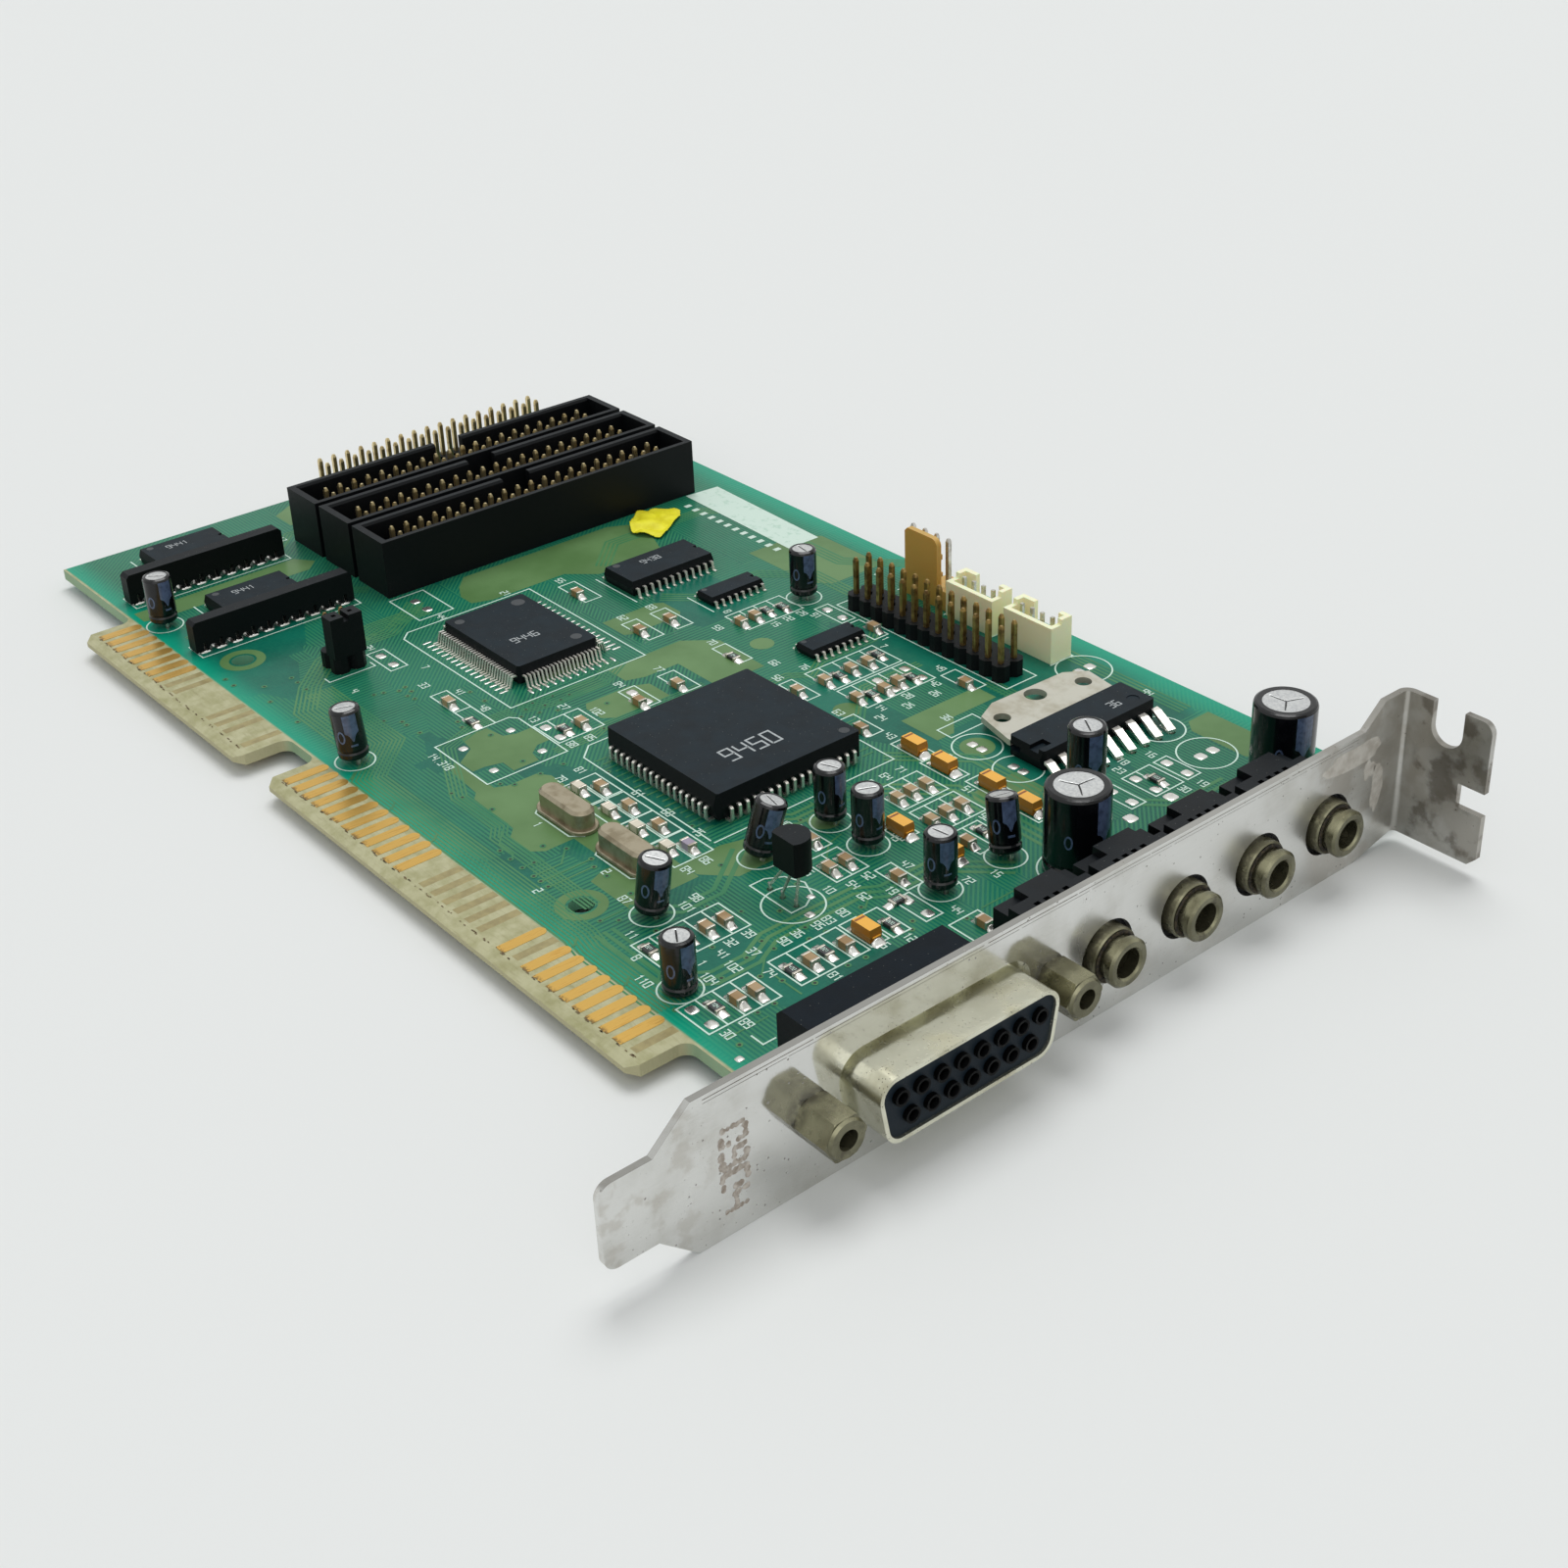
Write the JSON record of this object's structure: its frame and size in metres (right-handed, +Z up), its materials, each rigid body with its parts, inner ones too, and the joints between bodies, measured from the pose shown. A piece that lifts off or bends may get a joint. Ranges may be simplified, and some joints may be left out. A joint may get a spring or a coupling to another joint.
{
  "type": "isa sound card",
  "caption": "Long expansion card for an old computer bus: green board with chips, pin headers and cans, a slotted steel bracket with audio jacks and a game port socket",
  "frame": {"origin": "middle of the footprint, on the table; the card lies component side up on the long edge of its bracket and on its clipped pin ends", "axes": "+X runs along the card's long side towards the bracket's bent tab, +Y runs from the edge contacts to the card's upper edge, +Z is up, away from the board's component face"},
  "size_m": [0.1976, 0.1262, 0.0213],
  "materials": {
    "board": "glass-epoxy laminate with green solder mask, bare and translucent at the tabs",
    "gold": "thin gold plating, worn",
    "bracket_steel": "bright stainless sheet, stained and lightly scratched",
    "shell_tin": "tin plating, yellowed and speckled",
    "nickel": "dull nickel plating with grime",
    "tinned": "tinned copper alloy",
    "black_plastic": "black moulded plastic",
    "chip_epoxy": "dark slate moulded epoxy, fine matt",
    "tan_plastic": "aged nylon, tan",
    "cream_plastic": "aged nylon, cream",
    "sleeve": "shrunk black sleeve over an aluminium can",
    "fin_metal": "matt tinned copper",
    "crystal_metal": "drawn nickel can, dull",
    "amber": "amber moulded epoxy",
    "ceramic_tan": "fired ceramic with tinned ends",
    "ceramic_dark": "alumina with dark glass and tinned ends"
  },
  "bodies": {
    "root": {"circuit_board": "board", "edge_contacts": "gold", "bracket": "bracket_steel", "socket_shell": "shell_tin", "socket_insert": "black_plastic", "socket_contacts": "gold", "socket_cover": "black_plastic", "socket_feet": "shell_tin", "jackscrew_low": "nickel", "jackscrew_high": "nickel", "jack_body_1": "black_plastic", "jack_body_2": "black_plastic", "jack_body_3": "black_plastic", "jack_body_4": "black_plastic", "jack_sleeve_1": "nickel", "jack_sleeve_2": "nickel", "jack_sleeve_3": "nickel", "jack_sleeve_4": "nickel", "jack_contacts": "tinned", "box_header_near": "black_plastic", "box_header_middle": "black_plastic", "box_header_far": "black_plastic", "box_header_pins": "gold", "rear_header": "black_plastic", "rear_header_pins": "gold", "side_header": "black_plastic", "side_header_pins": "gold", "latch_header": "tan_plastic", "latch_header_pins": "tinned", "wafer_near_body": "cream_plastic", "wafer_far_body": "cream_plastic", "wafer_pins": "tinned", "square_chip": "chip_epoxy", "square_chip_leads": "tinned", "flat_chip": "chip_epoxy", "flat_chip_leads": "tinned", "long_chip": "chip_epoxy", "narrow_chip_far": "chip_epoxy", "narrow_chip_near": "chip_epoxy", "rear_chip_near": "chip_epoxy", "rear_chip_far": "chip_epoxy", "small_chip_leads": "tinned", "resistor_pack_near": "black_plastic", "resistor_pack_far": "black_plastic", "resistor_pack_pins": "tinned", "amplifier": "chip_epoxy", "heat_tab": "fin_metal", "amplifier_leads": "tinned", "crystal_far": "crystal_metal", "crystal_near": "crystal_metal", "large_cans": "sleeve", "small_cans": "sleeve", "can_leads": "tinned", "tantalum_capacitors": "amber", "chip_capacitors": "ceramic_tan", "chip_resistors": "ceramic_dark", "transistor": "black_plastic", "jumper_block": "black_plastic", "jumper_cap": "black_plastic", "jumper_pins": "gold"}
  },
  "joints": []
}
